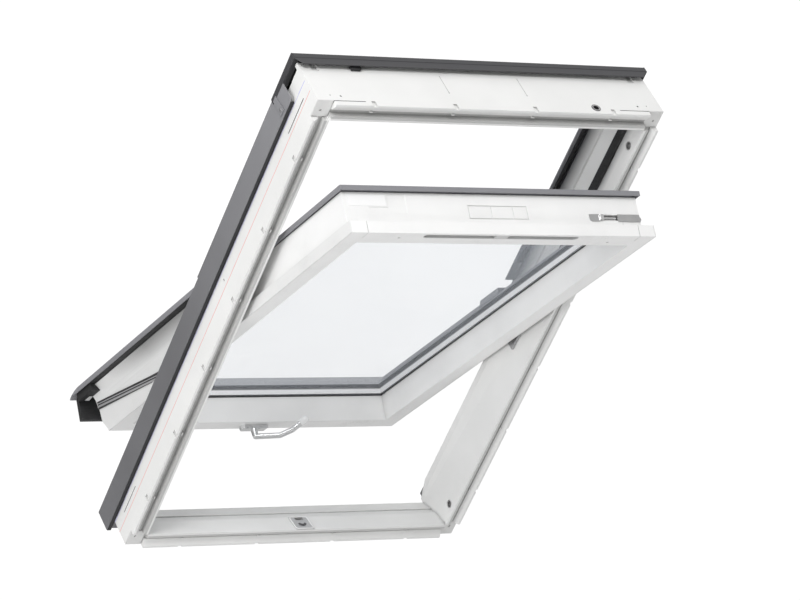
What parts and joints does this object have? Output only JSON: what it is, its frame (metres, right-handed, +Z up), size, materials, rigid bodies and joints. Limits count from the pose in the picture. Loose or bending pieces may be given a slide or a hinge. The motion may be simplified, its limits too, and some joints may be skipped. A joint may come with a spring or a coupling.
{
  "type": "roof skylight",
  "caption": "Centre-pivot roof window: white frame with grey covers, glazed tilting sash on arc hinges, barrel bolt in its top edge and a turning handle on its bottom rail.",
  "frame": {"origin": "centre of the frame opening on its room-side plane", "axes": "+X across the window to the right seen from the room, +Z up, +Y level and outward; the window plane is pitched 47 degrees from level about X"},
  "size_m": [0.8084, 1.1306, 0.965],
  "materials": {
    "frame_plastic": "satin white window plastic",
    "corner_plastic": "satin off-white plastic",
    "cover_grey": "satin grey painted sheet",
    "hood_dark": "satin dark grey painted sheet",
    "fitting_grey": "satin grey paint",
    "steel": "zinc plated",
    "black_plastic": "matt black",
    "rubber_black": "matt black",
    "sash_plastic": "satin white window plastic",
    "glass": "clear float glass",
    "spacer_metal": "bright aluminium",
    "sash_cover_grey": "satin grey painted sheet",
    "trim_plastic": "satin light plastic",
    "handle_metal": "satin",
    "tip_white": "satin white"
  },
  "bodies": {
    "frame": {"frame_head": "frame_plastic", "frame_sill": "frame_plastic", "frame_jamb_left": "frame_plastic", "frame_jamb_right": "frame_plastic", "corner_blocks": "corner_plastic", "riser_left": "frame_plastic", "riser_right": "frame_plastic", "riser_head": "frame_plastic", "frame_cover_left": "cover_grey", "frame_cover_right": "cover_grey", "frame_cover_bottom": "cover_grey", "hood": "hood_dark", "hood_side_left": "cover_grey", "hood_side_right": "cover_grey", "arm_fitting_left": "fitting_grey", "arm_fitting_right": "fitting_grey", "fitting_screws": "steel", "cover_clip": "black_plastic", "cover_edge_trim": "black_plastic", "outer_seal": "rubber_black", "inner_seal": "rubber_black", "striker": "steel", "bolt_bushes": "steel", "cable_grommet": "black_plastic", "hinge_frame_left": "steel", "hinge_frame_right": "steel", "hinge_frame_screws": "steel"},
    "sash": {"sash_stile_left": "sash_plastic", "sash_stile_right": "sash_plastic", "sash_top_rail": "sash_plastic", "sash_bottom_rail": "sash_plastic", "side_seal_left": "rubber_black", "side_seal_right": "rubber_black", "bottom_seal": "rubber_black", "sash_end_caps": "black_plastic", "glass_inner": "glass", "glass_outer": "glass", "glass_spacer": "spacer_metal", "glass_edge_seal": "rubber_black", "glazing_gasket_inner": "rubber_black", "glazing_gasket_outer": "rubber_black", "sash_cover_top": "sash_cover_grey", "sash_cover_upper_left": "sash_cover_grey", "sash_cover_upper_right": "sash_cover_grey", "sash_cover_lower_left": "sash_cover_grey", "sash_cover_lower_right": "sash_cover_grey", "sash_cover_bottom": "sash_cover_grey", "cover_seals": "rubber_black", "vent_insert": "trim_plastic", "label_plate": "trim_plastic", "centre_plates": "trim_plastic", "bolt_housing": "steel", "hinge_sash_left": "steel", "hinge_sash_right": "steel", "hinge_sash_screws": "steel", "handle_base": "handle_metal"},
    "bolt": {"barrel_bolt": "steel"},
    "handle": {"handle_lever": "handle_metal", "handle_tip": "tip_white"},
    "latch": {"latch_tongue": "steel"}
  },
  "joints": [
    {"name": "sash_pivot", "type": "hinge", "parent": "frame", "child": "sash", "pos_m": [0, 0.11686, 0.09844], "axis": [1, 0, 0], "range_deg": [-26.1, 132.68]},
    {"name": "bolt_slide", "type": "slide", "parent": "sash", "child": "bolt", "axis": [1, 0, 0], "range_m": [0, 0.022]},
    {"name": "handle_turn", "type": "hinge", "parent": "sash", "child": "handle", "pos_m": [-0.01, 0.56325, -0.18827], "axis": [0, 0.3567, 0.9342], "range_deg": [-90, 0]},
    {"name": "latch_slide", "type": "slide", "parent": "sash", "child": "latch", "axis": [0, 0.9342, -0.3567], "range_m": [0, 0.017]}
  ],
  "couplings": [
    {"joint": "latch_slide", "follows": "handle_turn", "m_per_rad": -0.0108}
  ]
}
